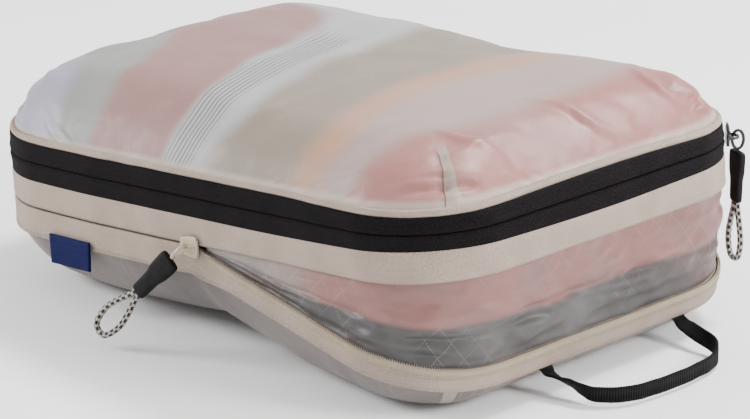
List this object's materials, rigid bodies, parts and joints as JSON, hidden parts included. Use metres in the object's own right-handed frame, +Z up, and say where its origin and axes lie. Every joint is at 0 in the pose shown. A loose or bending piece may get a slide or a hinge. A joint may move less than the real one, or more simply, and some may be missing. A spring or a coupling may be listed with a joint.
{
  "type": "packing cube",
  "caption": "Soft translucent packing cube with a zipped lid, a compression zip part-way open on its gusset, a folding base, two zip sliders with cord pulls and a webbing handle.",
  "frame": {"origin": "on the surface it stands on, under the middle of the cube's box, measured without the two cord loops", "axes": "+X along the length towards the carrying handle, -Y is the front with the compression slider, +Z up"},
  "size_m": [0.4026, 0.291, 0.1406],
  "materials": {
    "ripstop_top": "thin translucent ripstop with a soft sheen, pastel bands of the packed clothes behind it",
    "ripstop_base": "thin translucent ripstop with a soft sheen",
    "cream_fabric": "plain woven, matt",
    "cream_tape": "woven zip tape, matt",
    "cream_coil": "small polyester coil",
    "black_tape": "woven zip tape, matt",
    "black_coil": "small polyester coil",
    "black_pull": "soft moulded sleeve, matt",
    "black_webbing": "ribbed webbing",
    "cream_slider": "satin paint on a cast slider",
    "black_slider": "satin paint on a cast slider",
    "cord": "round braid, pale with dark flecks",
    "label": "woven label, plain"
  },
  "bodies": {
    "cube": {"main_zip_lower_tape": "black_tape", "main_zip_lower_coil": "black_coil", "hinge_panel": "cream_fabric", "main_zip_end_left": "cream_tape", "main_zip_end_right": "cream_tape", "mid_band": "cream_fabric", "compression_upper_tape": "cream_tape", "compression_upper_coil": "cream_coil", "compression_lower_tape_left": "cream_tape", "compression_lower_coil_left": "cream_coil", "base_wall_left": "ripstop_base", "bottom_panel_left": "ripstop_base", "gusset": "ripstop_base", "side_label": "label"},
    "lid": {"lid_panel": "ripstop_top", "lid_binding": "cream_fabric", "main_zip_upper_tape": "black_tape", "main_zip_upper_coil": "black_coil"},
    "base_right": {"compression_lower_tape_right": "cream_tape", "compression_lower_coil_right": "cream_coil", "base_wall_right": "ripstop_base", "bottom_panel_right": "ripstop_base", "handle_anchor_front": "black_webbing", "handle_anchor_rear": "black_webbing"},
    "compression_slider": {"compression_slider_body": "cream_slider", "compression_slider_bridge": "cream_slider"},
    "compression_pull": {"compression_pull_ring": "cream_slider", "compression_pull_sleeve": "black_pull", "compression_pull_cord": "cord"},
    "main_slider": {"main_slider_body": "black_slider", "main_slider_bridge": "black_slider"},
    "main_pull": {"main_pull_ring": "black_slider", "main_pull_sleeve": "black_pull", "main_pull_cord": "cord"},
    "handle": {"handle_webbing": "black_webbing"}
  },
  "joints": [
    {"name": "lid_hinge", "type": "hinge", "parent": "cube", "child": "lid", "pos_m": [-0.02025, 0.14208, 0.09586], "axis": [-0.9956, 0, -0.0932], "range_deg": [0, 150]},
    {"name": "compression_fold", "type": "hinge", "parent": "cube", "child": "base_right", "pos_m": [-0.01288, 0.00908, 0.06009], "axis": [0, -1, 0], "range_deg": [0, 15.8], "deforming": ["gusset"]},
    {"name": "compression_slide", "type": "slide", "parent": "cube", "child": "compression_slider", "axis": [0.9956, 0, 0.0932], "range_m": [0, 0.112]},
    {"name": "compression_pull_swing", "type": "hinge", "parent": "compression_slider", "child": "compression_pull", "pos_m": [-0.01288, -0.12812, 0.06009], "axis": [-0.7682, 0, 0.6402], "range_deg": [-15, 110]},
    {"name": "main_zip_travel", "type": "hinge", "parent": "cube", "child": "main_slider", "pos_m": [0.10517, 0.08408, 0.09725], "axis": [-0.0932, 0, 0.9956], "range_deg": [-45, 28]},
    {"name": "main_pull_swing", "type": "hinge", "parent": "main_slider", "child": "main_pull", "pos_m": [0.14896, 0.12806, 0.10136], "axis": [0.7071, -0.7071, 0], "range_deg": [-3, 100]},
    {"name": "handle_swing", "type": "hinge", "parent": "base_right", "child": "handle", "pos_m": [0.15891, 0.00908, 0.01048], "axis": [0, -1, 0], "range_deg": [-8, 75]}
  ],
  "couplings": [
    {"joint": "compression_slide", "follows": "compression_fold", "m_per_rad": 0.4}
  ]
}
